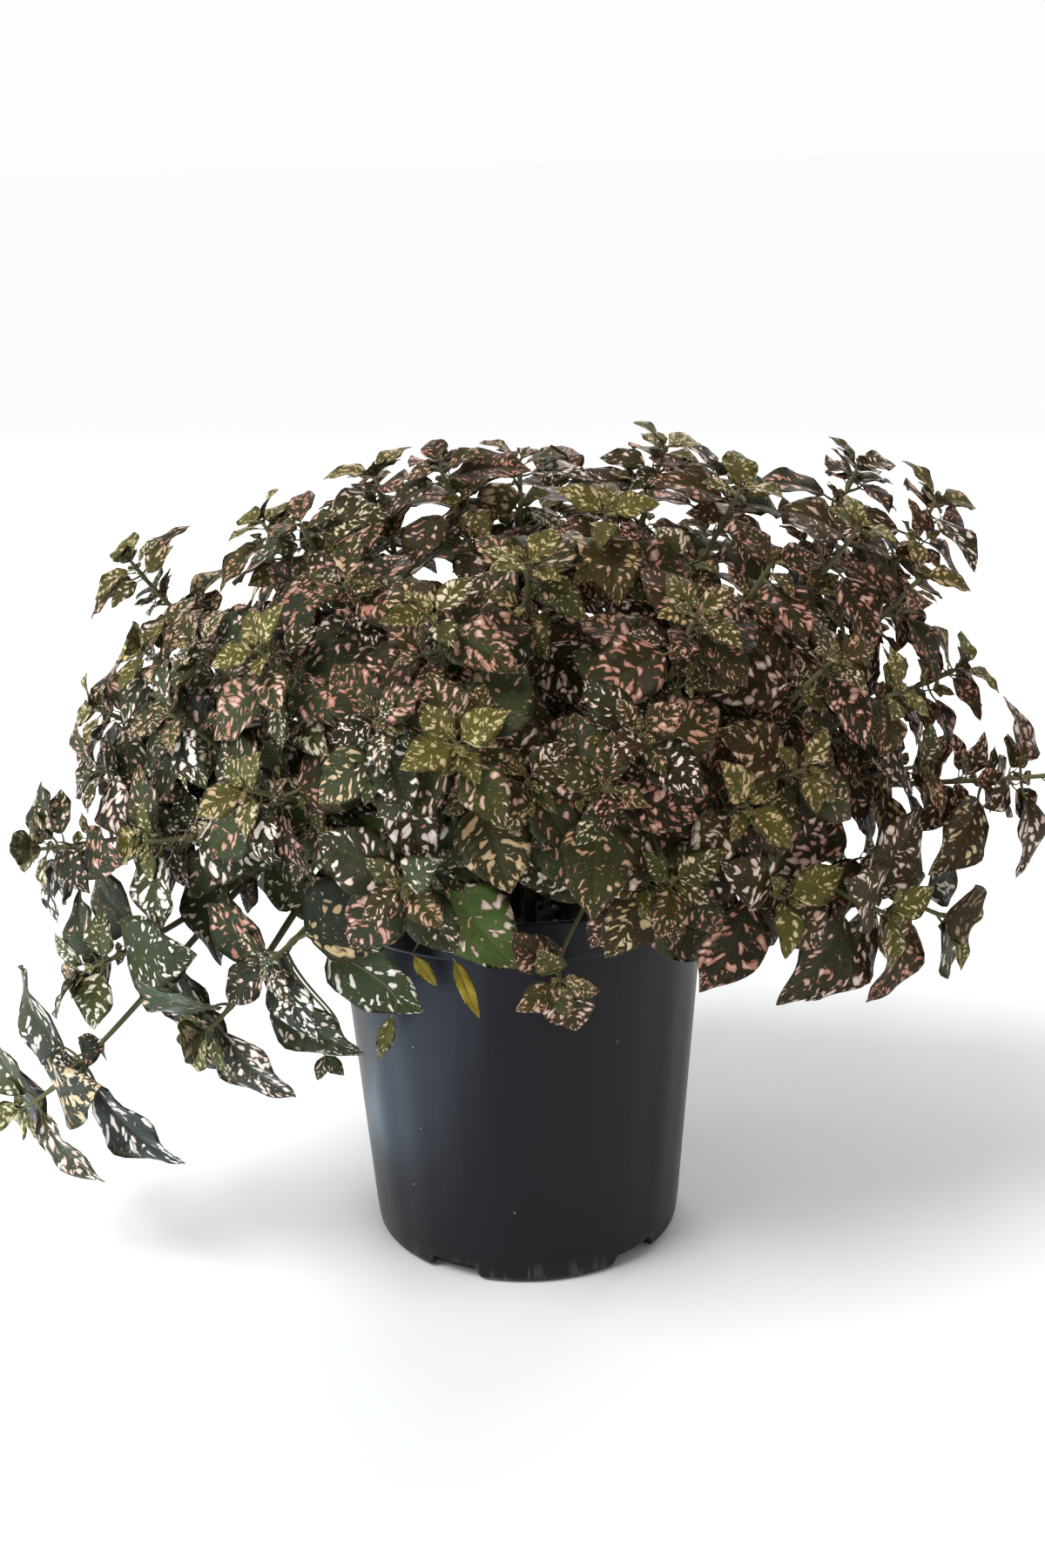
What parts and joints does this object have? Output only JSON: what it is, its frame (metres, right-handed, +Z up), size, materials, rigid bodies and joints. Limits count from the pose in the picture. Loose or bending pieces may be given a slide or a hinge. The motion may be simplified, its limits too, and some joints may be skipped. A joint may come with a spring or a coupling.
{
  "type": "potted polka dot plant",
  "caption": "Bushy houseplant with small spotted leaves on arching stems, filling a tapered black nursery pot.",
  "frame": {"origin": "centre of the pot's base, on the surface that it stands on", "axes": "+Z up, -Y towards the plant's front, +X to its right"},
  "size_m": [0.4711, 0.3369, 0.3474],
  "materials": {
    "pot_plastic": "satin",
    "soil_mix": "matte",
    "foliage": "satin"
  },
  "bodies": {
    "root": {"pot": "pot_plastic", "soil": "soil_mix", "stem_front": "foliage", "stem_front_left": "foliage", "stem_front_right": "foliage", "stem_left_front": "foliage", "stem_right_front": "foliage", "stem_low_left": "foliage", "stem_left_drooping": "foliage", "stem_right_low": "foliage", "stem_low_right": "foliage", "stem_left": "foliage", "stem_right": "foliage", "stem_top_left": "foliage", "stem_top": "foliage", "stem_top_right": "foliage", "stem_far_right": "foliage", "stem_back_left": "foliage", "stem_back": "foliage", "stem_back_right": "foliage"}
  },
  "joints": []
}
